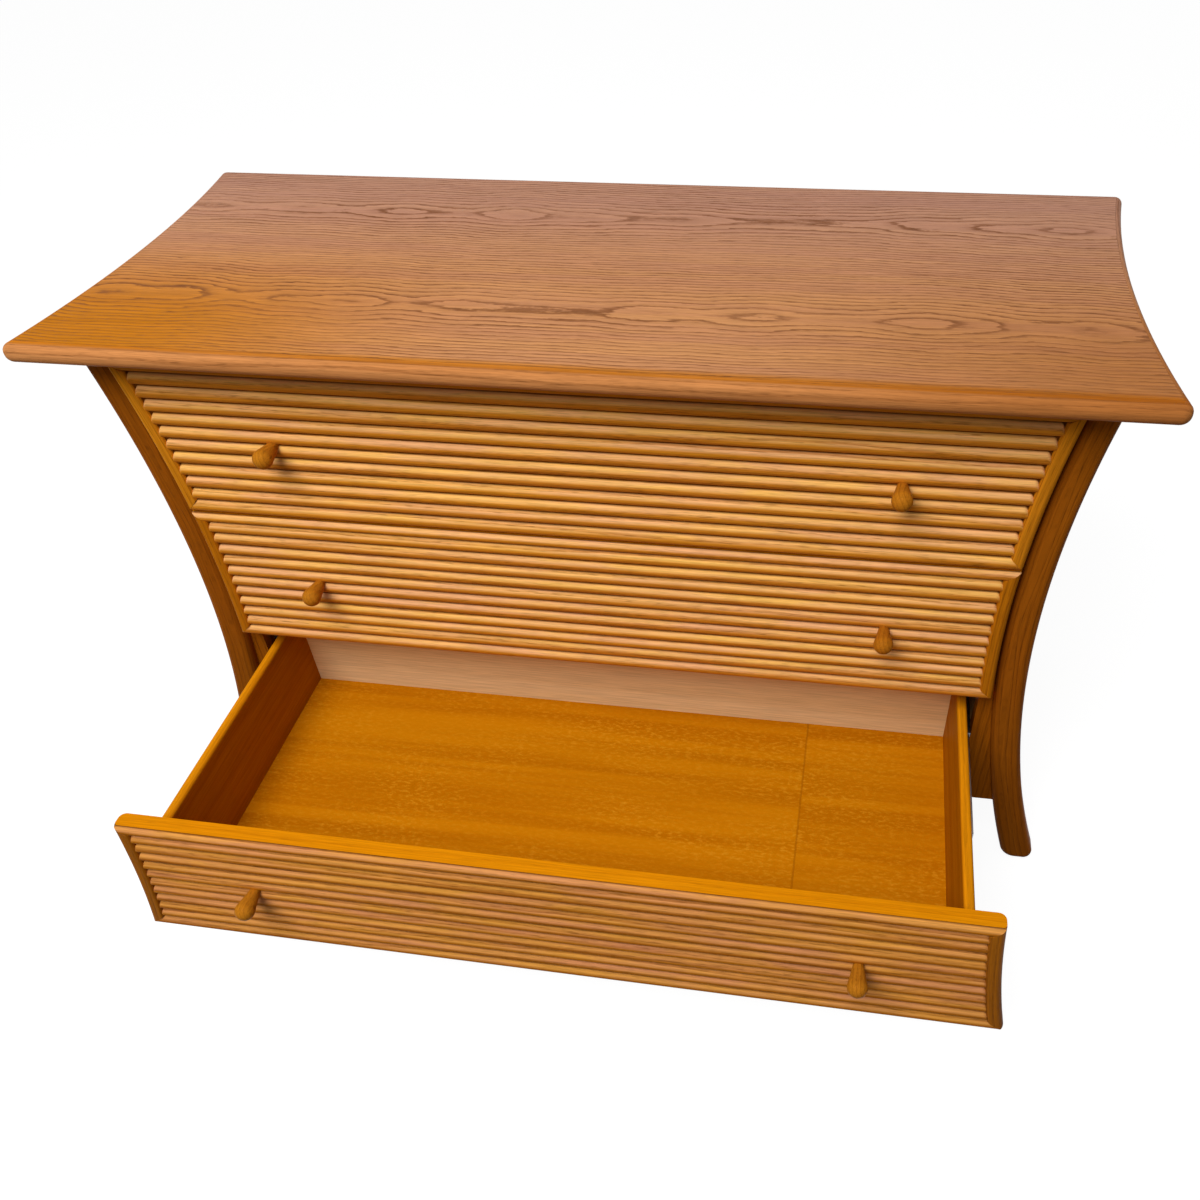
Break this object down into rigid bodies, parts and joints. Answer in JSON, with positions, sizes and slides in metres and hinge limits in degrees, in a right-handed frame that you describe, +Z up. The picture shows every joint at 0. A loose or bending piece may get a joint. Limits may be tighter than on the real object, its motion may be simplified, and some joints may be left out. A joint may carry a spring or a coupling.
{
  "type": "chest of drawers",
  "caption": "Low wooden chest with concave sides, bowed legs, a flared top and reeded drawer fronts with ball knobs, its lower drawer pulled out.",
  "frame": {"origin": "on the floor, under the middle of the chest as it stands with its lower drawer pulled out", "axes": "+X to the right along the chest, +Y to its back (the drawers open towards -Y), +Z up"},
  "size_m": [1.2202, 0.8496, 0.767],
  "materials": {
    "top_wood": "satin lacquered oak",
    "frame_wood": "satin lacquered, dark stained oak",
    "inner_wood": "plain softwood",
    "front_wood": "satin lacquered golden oak",
    "knob_wood": "satin lacquered oak",
    "drawer_bottom_wood": "satin veneer",
    "drawer_back_wood": "satin",
    "drawer_side_wood": "satin",
    "slide_steel": "zinc plated"
  },
  "bodies": {
    "case": {"back_panel": "inner_wood", "bottom_front_rail": "inner_wood", "bottom_rear_rail": "inner_wood", "front_left_leg": "frame_wood", "front_left_stile": "frame_wood", "front_right_leg": "frame_wood", "front_right_stile": "frame_wood", "left_side_panel": "frame_wood", "lower_divider_rail": "inner_wood", "lower_drawer_case_slides": "slide_steel", "lower_drawer_cleats": "inner_wood", "middle_drawer_case_slides": "slide_steel", "middle_drawer_cleats": "inner_wood", "rear_left_leg": "frame_wood", "rear_left_stile": "frame_wood", "rear_right_leg": "frame_wood", "rear_right_stile": "frame_wood", "right_side_panel": "frame_wood", "top_front_nosing": "top_wood", "top_front_rail": "inner_wood", "top_left_edging": "top_wood", "top_panel": "top_wood", "top_rear_rail": "inner_wood", "top_right_edging": "top_wood", "upper_divider_rail": "inner_wood", "upper_drawer_case_slides": "slide_steel", "upper_drawer_cleats": "inner_wood"},
    "upper_drawer": {"upper_drawer_back": "drawer_back_wood", "upper_drawer_bottom": "drawer_bottom_wood", "upper_drawer_drawer_slides": "slide_steel", "upper_drawer_end_strips": "front_wood", "upper_drawer_front_board": "front_wood", "upper_drawer_knobs": "knob_wood", "upper_drawer_left_side": "drawer_side_wood", "upper_drawer_reeds": "front_wood", "upper_drawer_right_side": "drawer_side_wood"},
    "upper_drawer_extensions": {"upper_drawer_slide_extensions": "slide_steel"},
    "middle_drawer": {"middle_drawer_back": "drawer_back_wood", "middle_drawer_bottom": "drawer_bottom_wood", "middle_drawer_drawer_slides": "slide_steel", "middle_drawer_end_strips": "front_wood", "middle_drawer_front_board": "front_wood", "middle_drawer_knobs": "knob_wood", "middle_drawer_left_side": "drawer_side_wood", "middle_drawer_reeds": "front_wood", "middle_drawer_right_side": "drawer_side_wood"},
    "middle_drawer_extensions": {"middle_drawer_slide_extensions": "slide_steel"},
    "lower_drawer": {"lower_drawer_back": "drawer_back_wood", "lower_drawer_bottom": "drawer_bottom_wood", "lower_drawer_drawer_slides": "slide_steel", "lower_drawer_end_strips": "front_wood", "lower_drawer_front_board": "front_wood", "lower_drawer_knobs": "knob_wood", "lower_drawer_left_side": "drawer_side_wood", "lower_drawer_reeds": "front_wood", "lower_drawer_right_side": "drawer_side_wood"},
    "lower_drawer_extensions": {"lower_drawer_slide_extensions": "slide_steel"}
  },
  "joints": [
    {"name": "upper_drawer_slide", "type": "slide", "parent": "case", "child": "upper_drawer", "axis": [0, -1, 0], "range_m": [0, 0.345]},
    {"name": "upper_drawer_extension_slide", "type": "slide", "parent": "case", "child": "upper_drawer_extensions", "axis": [0, -1, 0], "range_m": [0, 0.1725]},
    {"name": "middle_drawer_slide", "type": "slide", "parent": "case", "child": "middle_drawer", "axis": [0, -1, 0], "range_m": [0, 0.345]},
    {"name": "middle_drawer_extension_slide", "type": "slide", "parent": "case", "child": "middle_drawer_extensions", "axis": [0, -1, 0], "range_m": [0, 0.1725]},
    {"name": "lower_drawer_slide", "type": "slide", "parent": "case", "child": "lower_drawer", "axis": [0, -1, 0], "range_m": [-0.3312, 0.0138]},
    {"name": "lower_drawer_extension_slide", "type": "slide", "parent": "case", "child": "lower_drawer_extensions", "axis": [0, -1, 0], "range_m": [-0.1656, 0.0069]}
  ],
  "couplings": [
    {"joint": "upper_drawer_extension_slide", "follows": "upper_drawer_slide", "ratio": 0.5},
    {"joint": "middle_drawer_extension_slide", "follows": "middle_drawer_slide", "ratio": 0.5},
    {"joint": "lower_drawer_extension_slide", "follows": "lower_drawer_slide", "ratio": 0.5}
  ]
}
